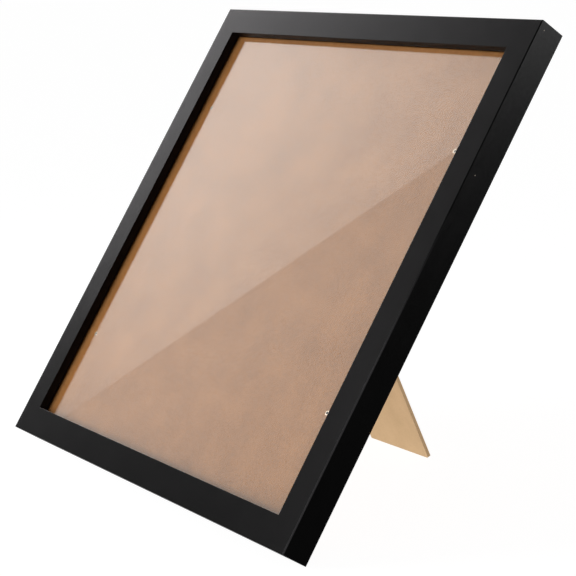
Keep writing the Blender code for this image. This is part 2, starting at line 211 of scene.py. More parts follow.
def plain_mesh(host: bpy.types.Object, name: str) -> bpy.types.Mesh:
    """Take what a host's modifiers make as a plain mesh.

    Args:
        host: the object with the modifiers; both are removed.
        name: the name of the mesh.

    Returns:
        The mesh.
    """
    graph = bpy.context.evaluated_depsgraph_get()
    mesh = bpy.data.meshes.new_from_object(host.evaluated_get(graph), depsgraph=graph)
    mesh.name = name
    host.modifiers.clear()
    bpy.data.objects.remove(host)
    return mesh


def ease_edges(host: bpy.types.Object, width: float, segments: int, angle: float) -> bpy.types.Modifier:
    """Round the sharper edges of a host.

    Args:
        host: the object whose edges are rounded.
        width: the width of the rounding.
        segments: the number of facets across it.
        angle: the angle in degrees above which an edge counts as sharp.

    Returns:
        The modifier that rounds them.
    """
    bevel = host.modifiers.new("eased edges", "BEVEL")
    bevel.width = width
    bevel.segments = segments
    bevel.limit_method = "ANGLE"
    bevel.angle_limit = math.radians(angle)
    return bevel


def coat(mesh: bpy.types.Mesh, finish: bpy.types.Material) -> None:
    """Give a mesh one material."""
    mesh.materials.clear()
    mesh.materials.append(finish)


class NodeWriter:
    """Adds and links the nodes of one tree."""

    def __init__(self, tree: bpy.types.NodeTree) -> None:
        """Keep the tree that the nodes go into."""
        self.tree = tree

    def add(self, kind: str, inputs: dict | None = None, **settings: object) -> bpy.types.Node:
        """Add a node.

        Args:
            kind: Blender's name for the node.
            inputs: what goes into its sockets, by name or number: an output, or a value.
            settings: the node's own options.

        Returns:
            The new node.
        """
        node = self.tree.nodes.new(kind)
        for name, value in settings.items():
            setattr(node, name, value)
        for name, value in (inputs or {}).items():
            self.plug(value, node.inputs[name])
        return node

    def plug(self, value: object, socket: bpy.types.NodeSocket) -> None:
        """Fill a socket.

        Args:
            value: an output to link to it, or a plain value to set on it.
            socket: the socket.
        """
        if isinstance(value, bpy.types.NodeSocket):
            self.tree.links.new(value, socket)
        else:
            socket.default_value = value

    def math(self, operation: str, first: object, second: object = 0.0) -> bpy.types.NodeSocket:
        """Combine two numbers."""
        return self.add("ShaderNodeMath", {0: first, 1: second}, operation=operation).outputs[0]

    def spread(self, value: object, source: tuple[float, float], target: tuple[float, float]) -> object:
        """Map a value from one range to another, without passing its ends."""
        ends = {"From Min": source[0], "From Max": source[1], "To Min": target[0], "To Max": target[1]}
        return self.add("ShaderNodeMapRange", {"Value": value, **ends}).outputs["Result"]


class GeometryTree(NodeWriter):
    """One Geometry Nodes tree, whose sizes are named inputs."""

    def __init__(self, name: str) -> None:
        """Start the tree with its geometry input and output.

        Args:
            name: the tree's name.
        """
        super().__init__(bpy.data.node_groups.new(name, "GeometryNodeTree"))
        for way in ("INPUT", "OUTPUT"):
            self.tree.interface.new_socket("Geometry", in_out=way, socket_type="NodeSocketGeometry")
        self.identifiers: dict[str, str] = {}
        self.entry = self.add("NodeGroupInput")

    def size(self, name: str, kind: SizeKind) -> bpy.types.NodeSocket:
        """Add a named input.

        Args:
            name: its name.
            kind: its kind.

        Returns:
            The output that carries it inside the tree.
        """
        socket = self.tree.interface.new_socket(name, in_out="INPUT", socket_type=kind.value)
        self.identifiers[name] = socket.identifier
        return self.entry.outputs[name]

    def position(self) -> bpy.types.NodeOutputs:
        """Give the three parts of each point's place."""
        here = self.add("GeometryNodeInputPosition").outputs[0]
        return self.add("ShaderNodeSeparateXYZ", {"Vector": here}).outputs

    def set_down(self, geometry: object, place: dict[str, object]) -> bpy.types.NodeSocket:
        """Move points drawn along three plain axes to where the model's own axes put them.

        Args:
            geometry: the geometry to move.
            place: for each of "X", "Y" and "Z" a number and a direction, and an "Origin".

        Returns:
            The moved geometry.
        """
        total = place["Origin"]
        for axis in ("X", "Y", "Z"):
            amount, direction = place[axis]
            part = self.add("ShaderNodeVectorMath", {0: direction, 3: amount}, operation="SCALE")
            both = self.add("ShaderNodeVectorMath", {0: total, 1: part.outputs[0]}, operation="ADD")
            total = both.outputs[0]
        return self.add("GeometryNodeSetPosition", {"Geometry": geometry, "Position": total}).outputs[0]

    def finish(self, geometry: bpy.types.NodeSocket) -> None:
        """End the tree: instances made real, faces smooth, the material set.

        Args:
            geometry: what the tree has made.
        """
        finish = self.size("Finish", SizeKind.MATERIAL)
        real = self.add("GeometryNodeRealizeInstances", {"Geometry": geometry})
        smooth = self.add("GeometryNodeSetShadeSmooth", {"Geometry": real.outputs[0]})
        made = self.add("GeometryNodeSetMaterial", {"Geometry": smooth.outputs[0], "Material": finish})
        self.add("NodeGroupOutput", {"Geometry": made.outputs[0]})

    def grow(self, name: str, seed: bpy.types.Mesh, sizes: dict[str, object]) -> bpy.types.Mesh:
        """Run the tree on a mesh.

        Args:
            name: the name of the mesh that comes out.
            seed: the mesh that goes in.
            sizes: a value for each named input.

        Returns:
            The result as a plain mesh, its faces pointing out.
        """
        host = add_object(f"{name}_seed", seed)
        modifier = host.modifiers.new(self.tree.name, "NODES")
        modifier.node_group = self.tree
        for label, value in sizes.items():
            modifier[self.identifiers[label]] = value
        mesh = plain_mesh(host, name)
        face_outwards(mesh)
        return mesh


def face_outwards(mesh: bpy.types.Mesh) -> None:
    """Turn every shell of a mesh the right way out and keep its sharp edges crisp.

    Args:
        mesh: the mesh, which is changed in place.
    """
    shape = bmesh.new()
    shape.from_mesh(mesh)
    bmesh.ops.recalc_face_normals(shape, faces=shape.faces)
    shape.to_mesh(mesh)
    shape.free()
    mesh.shade_smooth()
    mesh.set_sharp_from_angle(angle=SMOOTH_ANGLE)


def outline_mesh(name: str, outline: Outline, closed: bool) -> bpy.types.Mesh:
    """Make a mesh of edges along an outline, for a tree to sweep or turn.

    Args:
        name: the mesh's name.
        outline: its points.
        closed: whether the last point is joined to the first.

    Returns:
        The mesh.
    """
    mesh = bpy.data.meshes.new(name)
    count = len(outline)
    edges = [(index, (index + 1) % count) for index in range(count if closed else count - 1)]
    mesh.from_pydata([(a, b, 0) for a, b in outline], edges, [])
    return mesh


def arc(centre: tuple[float, float], radius: float, start: float, end: float, steps: int) -> Outline:
    """Draw an arc.

    Args:
        centre: its middle.
        radius: its radius.
        start: the angle in degrees at which it begins.
        end: the angle in degrees at which it ends.
        steps: the number of facets.

    Returns:
        Its points in order.
    """
    points = []
    for step in range(steps + 1):
        angle = math.radians(start + (end - start) * step / steps)
        points.append((centre[0] + radius * math.cos(angle), centre[1] + radius * math.sin(angle)))
    return points


def eased_corner(
    centre: tuple[float, float], radius: float, start: float, steps: int, margin: float = 0.00018
) -> Outline:
    """Round a square corner, with a point on the flat at each side so that the flats shade flat.

    Args:
        centre: the middle of the rounding.
        radius: its radius.
        start: the angle in degrees at which it begins; it ends 90 degrees on.
        steps: the number of facets.
        margin: how far those points lie from the rounding.

    Returns:
        The corner's points in order.
    """
    points = arc(centre, radius, start, start + 90, steps)
    first, last = math.radians(start), math.radians(start + 90)
    before = (points[0][0] + margin * math.sin(first), points[0][1] - margin * math.cos(first))
    after = (points[-1][0] - margin * math.sin(last), points[-1][1] + margin * math.cos(last))
    return [before, *points, after]


def settle(mesh: bpy.types.Mesh, nodes: list[str], body: str) -> None:
    """Show a mesh as a finished piece in the place of its CAD nodes.

    Args:
        mesh: the finished mesh, with its place in it; the piece takes its name.
        nodes: the CAD nodes that it stands for.
        body: the body that it rides on.
    """
    piece = add_object(mesh.name, mesh)
    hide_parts(*nodes)
    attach(piece, body)
    LOG.info("%s: %d faces, rides on %s", piece.name, len(mesh.polygons), body)


def eased_copy(node: str, name: str, radius: float, finish: bpy.types.Material) -> bpy.types.Mesh:
    """Copy a CAD node's shape with its edges rounded.

    Args:
        node: the CAD node.
        name: the name of the new mesh.
        radius: the radius of the rounding.
        finish: the material of the copy.

    Returns:
        The eased mesh.
    """
    shape = bmesh.new()
    shape.from_mesh(frame["nodes"][node].data)
    bmesh.ops.remove_doubles(shape, verts=shape.verts, dist=WELD_DISTANCE)
    bmesh.ops.dissolve_limit(shape, angle_limit=math.radians(1), verts=shape.verts, edges=shape.edges)
    host = add_object(f"{name}_sharp", mesh_from(shape, f"{name}_sharp"))
    ease_edges(host, radius, segments=3, angle=40).harden_normals = True
    eased = plain_mesh(host, name)
    coat(eased, finish)
    return eased


class FinishWriter(NodeWriter):
    """Writes one material on coordinates that lie along its piece."""

    def __init__(self, name: str, axes: Axes) -> None:
        """Start the material.

        Args:
            name: its name.
            axes: the axes that its patterns follow.
        """
        self.material = bpy.data.materials.new(name)
        self.material.use_nodes = True
        super().__init__(self.material.node_tree)
        self.shader = self.tree.nodes["Principled BSDF"]
        self.output = self.tree.nodes["Material Output"]
        rotation, location = axes.mapping()
        coordinates = self.add("ShaderNodeTexCoord")
        turned = {"Vector": coordinates.outputs["Object"], "Location": location, "Rotation": rotation}
        self.place = self.add("ShaderNodeMapping", turned).outputs[0]
        split = self.add("ShaderNodeSeparateXYZ", {"Vector": self.place})
        self.across, self.depth, self.height = split.outputs

    def from_middle(self) -> bpy.types.NodeSocket:
        """Give the distance from the frame's middle, measured squarely to its nearest side."""
        rise = self.math("ABSOLUTE", self.math("SUBTRACT", self.height, FRAME_MIDDLE))
        return self.math("MAXIMUM", self.math("ABSOLUTE", self.across), rise)

    def weigh(self, first: object, second: object, share: float) -> bpy.types.NodeSocket:
        """Add two patterns, the first with its share and the second with the rest."""
        rest = self.math("MULTIPLY", second, 1 - share)
        return self.math("ADD", self.math("MULTIPLY", first, share), rest)

    def noise(
        self, per_metre: float, detail: float = 2.0, stretch: Colour = (1, 1, 1)
    ) -> bpy.types.NodeSocket:
        """Add noise.

        Args:
            per_metre: the number of its features in a metre.
            detail: its octaves.
            stretch: how much finer it is along each axis.

        Returns:
            Its value from 0 to 1.
        """
        place = self.add("ShaderNodeVectorMath", {0: self.place, 1: stretch}, operation="MULTIPLY")
        octaves = {"Scale": per_metre, "Detail": detail, "Roughness": NOISE_ROUGHNESS}
        return self.add("ShaderNodeTexNoise", {"Vector": place.outputs[0], **octaves}).outputs["Fac"]

    def tint(self, factor: object, low: object, high: object) -> bpy.types.NodeSocket:
        """Mix two colours.

        Args:
            factor: the share of the second colour.
            low: the first colour, a fixed one or a socket.
            high: the second colour, a fixed one or a socket.

        Returns:
            The mixed colour.
        """
        fixed = [(*colour, 1) if isinstance(colour, tuple) else colour for colour in (low, high)]
        inputs = {0: factor, 6: fixed[0], 7: fixed[1]}
        return self.add("ShaderNodeMix", inputs, data_type="RGBA").outputs[2]

    def bump(self, height: object, rise: float, under: object = None) -> bpy.types.NodeSocket:
        """Raise the surface by a height pattern.

        Args:
            height: the pattern.
            rise: how high a value of 1 stands.
            under: another bump to lay it on, if there is one.

        Returns:
            The bumped normal.
        """
        inputs = {"Height": height, "Strength": 1.0, "Distance": rise}
        if under is not None:
            inputs["Normal"] = under
        return self.add("ShaderNodeBump", inputs).outputs[0]

    def dress(self, **inputs: object) -> bpy.types.Material:
        """Set the shader's sockets.

        Args:
            inputs: an output or a value for each socket, by its name with underscores for spaces.

        Returns:
            The material.
        """
        for name, value in inputs.items():
            self.plug(value, self.shader.inputs[name.replace("_", " ")])
        return self.material


class GlowWriter(NodeWriter):
    """Writes one material of the stage, without the standard shader."""

    def __init__(self, name: str) -> None:
        """Start the material.

        Args:
            name: its name.
        """
        self.material = bpy.data.materials.new(name)
        self.material.use_nodes = True
        super().__init__(self.material.node_tree)
        self.tree.nodes.remove(self.tree.nodes["Principled BSDF"])

    def show(self, shader: bpy.types.NodeSocket) -> bpy.types.Material:
        """Show a shader on the surface and return the material."""
        self.plug(shader, self.tree.nodes["Material Output"].inputs["Surface"])
        return self.material


@dataclass(frozen=True)
class BlackFoil:
    """Fibreboard wrapped in black paper foil, bare where the foil stops behind and in the groove."""

    foil_dark: Colour = (0.0003, 0.0003, 0.0003)
    foil_pale: Colour = (0.0010, 0.0010, 0.0010)
    # Faint brown on the inner walls of the opening: a painted reflection of the brown board in the foil.
    painted_wall_reflection: Colour = (0.005, 0.0027, 0.0018)
    # A paler grey on the lower right front arris: a painted highlight.
    painted_arris_highlight: Colour = (0.030, 0.029, 0.030)
    arris: float = 0.0007
    highlight_heights: tuple[float, float] = (0.12, 0.21)
    opening: float = 0.14642
    fibre_dark: Colour = (0.17, 0.105, 0.055)
    fibre_pale: Colour = (0.30, 0.20, 0.115)
    chip: Colour = (0.34, 0.29, 0.24)
    half_width: float = 0.165
    lap: float = 0.0072
    front: float = 0.0065
    sheen: float = 0.016
    gloss: tuple[float, float] = (0.22, 0.24)
    bare_roughness: float = 0.6
    grain_density: float = 2400
    grain_share: float = 0.6
    grain_rise: float = 0.000012
    cloud_density: float = 70
    fibre_density: float = 1500
    coarse_density: float = 1100
    coarse_rise: float = 0.00016
    ragged_density: float = 420
    ragged_reach: float = 0.0005
    chip_density: float = 2600
    chip_raggedness: float = 0.00045
    chip_radius: float = 0.00052
    chips: tuple[Colour, ...] = (
        (0.165, 0.0043, 0.3254),
        (0.165, 0.0051, 0.2333),
    )

    def bare(self, writer: FinishWriter) -> bpy.types.NodeSocket:
        """Mark where the foil has stopped: past its lap on the back, in the rabbet and in the groove.

        Args:
            writer: the material's nodes.

        Returns:
            1 where the fibreboard is bare.
        """
        inward = writer.math("SUBTRACT", self.half_width, writer.from_middle())
        ragged = writer.math("MULTIPLY", writer.noise(self.ragged_density), self.ragged_reach)
        past_lap = writer.math("GREATER_THAN", writer.math("ADD", inward, ragged), self.lap)
        behind = writer.math("GREATER_THAN", writer.depth, self.front)
        return writer.math("MULTIPLY", past_lap, behind)

    def chipped(self, writer: FinishWriter) -> bpy.types.NodeSocket:
        """Mark the few small chips along the right side.

        Args:
            writer: the material's nodes.

        Returns:
            1 in a chip.
        """
        marks = 0.0
        edge = writer.math("MULTIPLY", writer.noise(self.chip_density), self.chip_raggedness)
        for spot in self.chips:
            inputs = {0: writer.place, 1: spot}
            away = writer.add("ShaderNodeVectorMath", inputs, operation="DISTANCE").outputs["Value"]
            near = writer.math("LESS_THAN", writer.math("ADD", away, edge), self.chip_radius)
            marks = writer.math("MAXIMUM", near, marks)
        return marks

    def painted_highlight_share(self, writer: FinishWriter) -> bpy.types.NodeSocket:
        """Mark the lower part of the right front arris, where a paler tone is painted on as a highlight.

        Args:
            writer: the material's nodes.

        Returns:
            How strong the painted highlight is, up to 1.
        """
        outside = writer.math("GREATER_THAN", writer.across, self.half_width - self.arris)
        before = writer.math("LESS_THAN", writer.depth, self.arris)
        wear_and_highlight = writer.spread(writer.height, self.highlight_heights, (1, 0))
        return writer.math("MULTIPLY", writer.math("MULTIPLY", outside, before), wear_and_highlight)

    def make(self, axes: Axes) -> bpy.types.Material:
        """Make the foil's material.

        Args:
            axes: the axes that its patterns follow.

        Returns:
            The material.
        """
        writer = FinishWriter("black paper foil", axes)
        grain = writer.noise(self.grain_density, 3)
        cloud = writer.noise(self.cloud_density)
        shade = writer.weigh(grain, cloud, self.grain_share)
        foil = writer.tint(writer.spread(shade, TONE_ENDS, (0, 1)), self.foil_dark, self.foil_pale)
        fibre = writer.tint(writer.noise(self.fibre_density, 4), self.fibre_dark, self.fibre_pale)
        # The inner walls of the opening get the faint brown as a painted reflection of the board.
        reflection_wall_mask = writer.math("LESS_THAN", writer.from_middle(), self.opening)
        foil = writer.tint(reflection_wall_mask, foil, self.painted_wall_reflection)
        # The lower right front arris gets the paler grey as a painted highlight, fading out with height.
        foil = writer.tint(self.painted_highlight_share(writer), foil, self.painted_arris_highlight)
        bare = self.bare(writer)
        colour = writer.tint(bare, foil, fibre)
        colour = writer.tint(self.chipped(writer), colour, self.chip)
        gloss = writer.spread(cloud, GLOSS_ENDS, self.gloss)
        rough = writer.math("ADD", gloss, writer.math("MULTIPLY", bare, self.bare_roughness))
        raised = writer.bump(grain, self.grain_rise)
        coarse = writer.math("MULTIPLY", writer.noise(self.coarse_density, 4), bare)
        normal = writer.bump(coarse, self.coarse_rise, raised)
        return writer.dress(Base_Color=colour, Roughness=rough, Normal=normal, Specular_IOR_Level=self.sheen)


@dataclass(frozen=True)
class Hardboard:
    """Brown hardboard: a smooth flecked front, a wire-screen texture behind."""

    dark: Colour = (0.325, 0.130, 0.039)
    pale: Colour = (0.485, 0.204, 0.068)
    # Colour of the dark flecks, also used on the back as painted shade in the screen's hollows.
    fleck_and_hollow_shade: Colour = (0.22, 0.085, 0.022)
    roughness: tuple[float, float] = (0.62, 0.78)
    sheen: float = 0.03
    cloud_density: float = 38
    cloud_share: float = 0.4
    fibre_density: float = 620
    fibre_rise: float = 0.000008
    fleck_density: float = 760
    fleck_stretch: Colour = (1.0, 1.0, 0.35)
    fleck_ends: tuple[float, float] = (0.64, 0.74)
    fleck_strength: float = 0.55
    screened_from: float = 0.0107
    screen_pitch: float = 0.0011
    screen_rise: float = 0.00011
    hollow_shade_strength: float = 0.5

    def behind(self, writer: FinishWriter) -> bpy.types.NodeSocket:
        """Mark the board's back."""
        return writer.math("GREATER_THAN", writer.depth, self.screened_from)

    def screen(self, writer: FinishWriter) -> bpy.types.NodeSocket:
        """Draw the wire-screen texture, which is only on the back.

        Args:
            writer: the material's nodes.

        Returns:
            The texture's height, from -1 to 1.
        """
        turns = 2 * math.pi / self.screen_pitch
        weft = writer.math("SINE", writer.math("MULTIPLY", writer.across, turns))
        warp = writer.math("SINE", writer.math("MULTIPLY", writer.height, turns))
        return writer.math("MULTIPLY", writer.math("MULTIPLY", weft, warp), self.behind(writer))

    def make(self, axes: Axes) -> bpy.types.Material:
        """Make the board's material.

        Args:
            axes: the axes that its patterns follow.

        Returns:
            The material.
        """
        writer = FinishWriter("brown hardboard", axes)
        cloud = writer.noise(self.cloud_density, 3)
        fibre = writer.noise(self.fibre_density, 4)
        ground = writer.weigh(cloud, fibre, self.cloud_share)
        colour = writer.tint(writer.spread(ground, TONE_ENDS, (0, 1)), self.dark, self.pale)
        spots = writer.noise(self.fleck_density, 2, self.fleck_stretch)
        flecks = writer.spread(spots, self.fleck_ends, (0, self.fleck_strength))
        colour = writer.tint(flecks, colour, self.fleck_and_hollow_shade)
        screen = self.screen(writer)
        # The screen's dips on the back are darkened: painted shade in the hollows of the texture.
        dips = writer.spread(screen, (-1.0, 1.0), (0.0, self.hollow_shade_strength))
        painted_hollow_shade = writer.math("MULTIPLY", dips, self.behind(writer))
        colour = writer.tint(painted_hollow_shade, colour, self.fleck_and_hollow_shade)
        raised = writer.bump(fibre, self.fibre_rise)
        normal = writer.bump(screen, self.screen_rise, raised)
        rough = writer.spread(fibre, GLOSS_ENDS, self.roughness)
        return writer.dress(Base_Color=colour, Roughness=rough, Normal=normal, Specular_IOR_Level=self.sheen)


@dataclass(frozen=True)
class LegBoard:
    """Tan fibreboard with smooth faces and rougher, darker cut edges."""

    dark: Colour = (0.62, 0.43, 0.238)
    pale: Colour = (0.72, 0.51, 0.290)
    edge: Colour = (0.40, 0.255, 0.13)
    roughness: tuple[float, float] = (0.72, 0.86)
    sheen: float = 0.2
    cloud_density: float = 60
    cloud_share: float = 0.5
    fibre_density: float = 1500
    fibre_rise: float = 0.00006
    face_rise_share: float = 0.3
    middle: float = -0.00025
    half_thickness: float = 0.00125
    edge_margins: tuple[float, float] = (0.00035, 0.0001)
    edge_strengths: tuple[float, float] = (0.5, 1)

    def make(self, axes: Axes) -> bpy.types.Material:
        """Make the leg's material.

        Args:
            axes: the axes that its patterns follow.

        Returns:
            The material.
        """
        writer = FinishWriter("tan fibreboard", axes)
        cloud = writer.noise(self.cloud_density, 3)
        fibre = writer.noise(self.fibre_density, 4)
        ground = writer.weigh(cloud, fibre, self.cloud_share)
        colour = writer.tint(writer.spread(ground, TONE_ENDS, (0, 1)), self.dark, self.pale)
        off_middle = writer.math("ABSOLUTE", writer.math("SUBTRACT", writer.depth, self.middle))
        inner, outer = self.edge_margins
        cut = writer.spread(off_middle, (self.half_thickness - inner, self.half_thickness - outer), (1, 0))
        wear_and_highlight = writer.math("MULTIPLY", cut, writer.spread(fibre, GLOSS_ENDS, self.edge_strengths))
        colour = writer.tint(wear_and_highlight, colour, self.edge)
        height = writer.math("MULTIPLY", fibre, writer.math("ADD", cut, self.face_rise_share))
        normal = writer.bump(height, self.fibre_rise)
        rough = writer.spread(fibre, GLOSS_ENDS, self.roughness)
        return writer.dress(Base_Color=colour, Roughness=rough, Normal=normal, Specular_IOR_Level=self.sheen)


@dataclass(frozen=True)
class SheetSteel:
    """Plated sheet or wire with faint rolling marks and a cloudy gloss, dark down a bore if it has one."""

    name: str
    dark: Colour
    pale: Colour
    roughness: tuple[float, float]
    bore: tuple[float, float] = (0.0, 0.0)
    bore_shade: Colour = (0.02, 0.016, 0.012)
    rolled_density: float = 900
    rolled_stretch: Colour = (0.25, 1, 4)
    rolled_share: float = 0.5
    rolled_rise: float = 0.000006
    cloud_density: float = 330

    def make(self, axes: Axes) -> bpy.types.Material:
        """Make the steel's material.

        Args:
            axes: the axes that its patterns follow.

        Returns:
            The material.
        """
        writer = FinishWriter(self.name, axes)
        rolled = writer.noise(self.rolled_density, 3, self.rolled_stretch)
        cloud = writer.noise(self.cloud_density)
        colour = writer.tint(writer.spread(cloud, TONE_ENDS, (0, 1)), self.dark, self.pale)
        below = writer.math("GREATER_THAN", writer.depth, self.bore[0])
        inside = writer.math("MULTIPLY", below, writer.math("LESS_THAN", writer.depth, self.bore[1]))
        colour = writer.tint(inside, colour, self.bore_shade)
        wear_and_highlight = writer.weigh(rolled, cloud, self.rolled_share)
        rough = writer.spread(wear_and_highlight, TONE_ENDS, self.roughness)
        normal = writer.bump(rolled, self.rolled_rise)
        return writer.dress(Base_Color=colour, Roughness=rough, Normal=normal, Metallic=1.0)


@dataclass(frozen=True)
class ClearGlass:
    """Clear float glass that bends what is behind it and lets light through to the board."""

    body: Colour = (0.972, 0.990, 0.982)
    light: Colour = (0.93, 0.95, 0.94)
    opening: float = 0.1463
    refraction: float = 1.5
    tone_density: float = 6
    deep_tone: float = 0.985
    film_density: float = 26
    film: tuple[float, float] = (0.0, 0.004)

    def make(self, axes: Axes) -> bpy.types.Material:
        """Make the glass's material.

        Args:
            axes: the axes that its patterns follow.

        Returns:
            The material.
        """
        writer = FinishWriter("clear float glass", axes)
        deep = tuple(channel * self.deep_tone for channel in self.body)
        colour = writer.tint(writer.noise(self.tone_density, 1), self.body, deep)
        film = writer.spread(writer.noise(self.film_density, 3), GLOSS_ENDS, self.film)
        glass = writer.dress(Base_Color=colour, Roughness=film, Transmission_Weight=1.0, IOR=self.refraction)
        rays = writer.add("ShaderNodeLightPath")
        passed = writer.math("MAXIMUM", rays.outputs["Is Shadow Ray"], rays.outputs["Is Diffuse Ray"])
        within = writer.math("LESS_THAN", writer.from_middle(), self.opening)
        let_in = writer.tint(within, (0.0, 0.0, 0.0), self.light)
        clear = writer.add("ShaderNodeBsdfTransparent", {"Color": let_in})
        inputs = {0: passed, 1: writer.shader.outputs[0], 2: clear.outputs[0]}
        mix = writer.add("ShaderNodeMixShader", inputs)
        writer.plug(mix.outputs[0], writer.output.inputs["Surface"])
        return glass


@dataclass
class Moulding:
    """Four mitred lengths of flat moulding, and the nails across their mitres."""

    axes: Axes
    foil: bpy.types.Material
    steel: bpy.types.Material
    width: float = 0.330
    height: float = 0.330
    face: float = 0.0187
    wall: float = 0.0115
    lip: float = 0.0059
    depth: float = 0.0180
    groove: tuple[float, float] = (0.0108, 0.0128)
    groove_depth: float = 0.0045
    front_radius: float = 0.0006
    small_radius: float = 0.0002
    crisp_radius: float = 0.00012
    mitre_gap: float = 0.00002
    nail_inset: float = 0.0014
    nail_leg: float = 0.0042
    nail_thickness: float = 0.0005
    nail_height: float = 0.0070
    nail_taper: float = 0.00012
    nail_point: float = 0.0006
    nail_lift: float = 0.00004

    def section(self) -> Outline:
        """Draw the moulding's outline.

        Returns:
            Its points: distance in from the outer edge, and depth from the face.
        """
        front, small, crisp = self.front_radius, self.small_radius, self.crisp_radius
        floor = self.wall - self.groove_depth
        return [
            *eased_corner((front, front), front, 180, 6),
            *eased_corner((self.face - crisp, crisp), crisp, 270, 4, margin=0.00004),
            *eased_corner((self.face - small, self.lip - small), small, 0, 3),
            (self.wall, self.lip),
            (self.wall, self.groove[0]),
            (floor, self.groove[0]),
            (floor, self.groove[1]),
            (self.wall, self.groove[1]),
            *eased_corner((self.wall - small, self.depth - small), small, 0, 3),
            *eased_corner((small, self.depth - small), small, 90, 3),
        ]

    def length_tree(self) -> GeometryTree:
        """Write the tree that sweeps the section along one side and mitres its ends.

        Returns:
            The tree.
        """
        tree = GeometryTree("mitred moulding length")
        half = tree.size("Half length", SizeKind.LENGTH)
        gap = tree.size("Mitre gap", SizeKind.LENGTH)
        corner = tree.size("Side origin", SizeKind.VECTOR)
        along = tree.size("Along", SizeKind.VECTOR)
        inward = tree.size("Inward", SizeKind.VECTOR)
        backward = tree.size("Backward", SizeKind.VECTOR)
        path = tree.add("GeometryNodeCurvePrimitiveLine", {"Start": (-1, 0, 0), "End": (1, 0, 0)})
        section = tree.add("GeometryNodeMeshToCurve", {"Mesh": tree.entry.outputs["Geometry"]})
        ends = {"Curve": path.outputs[0], "Profile Curve": section.outputs[0], "Fill Caps": True}
        swept = tree.add("GeometryNodeCurveToMesh", ends)
        share, *drawn = tree.position()
        from_edge, level = (tree.math("MULTIPLY", distance, -1.0) for distance in drawn)
        reach = tree.math("SUBTRACT", tree.math("SUBTRACT", half, from_edge), gap)
        run = tree.math("MULTIPLY", share, reach)
        place = {"Origin": corner, "X": (run, along), "Y": (from_edge, inward), "Z": (level, backward)}
        tree.finish(tree.set_down(swept.outputs[0], place))
        return tree

    def nail_shape(self) -> bpy.types.Mesh:
        """Draw one V-shaped nail for the corner whose edges run along +X and +Y, its top at level 0.

        Returns:
            The nail's mesh.
        """
        low, tip = self.nail_inset, self.nail_inset + self.nail_leg
        elbow = low + self.nail_thickness
        corners = [(low, low), (tip, low), (tip, elbow), (elbow, elbow), (elbow, tip), (low, tip)]
        bottom = -self.nail_height
        shape = bmesh.new()
        rings = []
        for level, shrink in ((bottom, self.nail_taper), (bottom + self.nail_point, 0), (0, 0)):
            ring = []
            for a, b in corners:
                slim_a = a + (shrink if a < elbow else -shrink)
                slim_b = b + (shrink if b < elbow else -shrink)
                ring.append(shape.verts.new((slim_a, slim_b, level)))
            rings.append(ring)
        for lower, upper in zip(rings, rings[1:]):
            bridge(shape, lower, upper, closed=True)
        shape.faces.new(rings[0])
        shape.faces.new(rings[-1])
        return mesh_from(shape, "corner nail")

    def nail_tree(self) -> GeometryTree:
        """Write the tree that sets one nail at each corner and turns it to fit.

        Returns:
            The tree.
        """
        tree = GeometryTree("nails at the corners")
        wide = tree.size("Frame width", SizeKind.LENGTH)
        high = tree.size("Frame height", SizeKind.LENGTH)
        middle = tree.size("Back middle", SizeKind.VECTOR)
        across = tree.size("Across", SizeKind.VECTOR)
        up = tree.size("Up", SizeKind.VECTOR)
        backward = tree.size("Backward", SizeKind.VECTOR)
        counts = {"Size X": wide, "Size Y": high, "Vertices X": 2, "Vertices Y": 2}
        corners = tree.add("GeometryNodeMeshGrid", counts)
        sign_x, sign_y = (tree.math("SIGN", part) for part in tree.position()[:2])
        angle = tree.math("ADD", tree.math("ARCTAN2", sign_y, sign_x), math.radians(135))
        turn = tree.add("ShaderNodeCombineXYZ", {"Z": angle})
        rotation = tree.add("FunctionNodeEulerToRotation", {0: turn.outputs[0]})
        seats = {
            "Points": corners.outputs[0],
            "Instance": tree.entry.outputs["Geometry"],
            "Rotation": rotation.outputs[0],
        }
        nails = tree.add("GeometryNodeInstanceOnPoints", seats)
        real = tree.add("GeometryNodeRealizeInstances", {"Geometry": nails.outputs[0]})
        x, y, z = tree.position()
        place = {"Origin": middle, "X": (x, across), "Y": (y, up), "Z": (z, backward)}
        tree.finish(tree.set_down(real.outputs[0], place))
        return tree

    def side_frame(self, side: Side) -> tuple[float, Vector, Vector, Vector]:
        """Find where a side lies.

        Args:
            side: the side.

        Returns:
            Its half length, and its origin, its run and its way in, in the model's axes.
        """
        half_width, half_height = self.width / 2, self.height / 2
        places = {
            Side.BOTTOM: (half_width, (0, 0, 0), (1, 0, 0), (0, 0, 1)),
            Side.TOP: (half_width, (0, 0, self.height), (1, 0, 0), (0, 0, -1)),
            Side.LEFT: (half_height, (-half_width, 0, half_height), (0, 0, 1), (1, 0, 0)),
            Side.RIGHT: (half_height, (half_width, 0, half_height), (0, 0, 1), (-1, 0, 0)),
        }
        half, origin, along, inward = places[side]
        axes = self.axes
        return half, axes.point(*origin), axes.direction(*along), axes.direction(*inward)

    def build(self) -> None:
        """Build the four lengths and the four nails."""
        tree = self.length_tree()
        backward = self.axes.direction(0, 1, 0)
        for side in Side:
            half, origin, along, inward = self.side_frame(side)
            sizes = {
                "Half length": half,
                "Mitre gap": self.mitre_gap,
                "Side origin": origin,
                "Along": along,
                "Inward": inward,
                "Backward": backward,
                "Finish": self.foil,
            }
            section = outline_mesh("moulding section", self.section(), closed=True)
            mesh = tree.grow(f"foiled_{side.value}", section, sizes)
            settle(mesh, [side.value], Body.FRAME.value)
        nails = {
            "Frame width": self.width,
            "Frame height": self.height,
            "Back middle": self.axes.point(0, self.depth + self.nail_lift, self.height / 2),
            "Across": self.axes.direction(1, 0, 0),
            "Up": self.axes.direction(0, 0, 1),
            "Backward": backward,
            "Finish": self.steel,
        }
        mesh = self.nail_tree().grow("mitre_nails", self.nail_shape(), nails)
        replaced = [f"corner_nail_{corner.value}" for corner in Corner]
        settle(mesh, replaced, Body.FRAME.value)


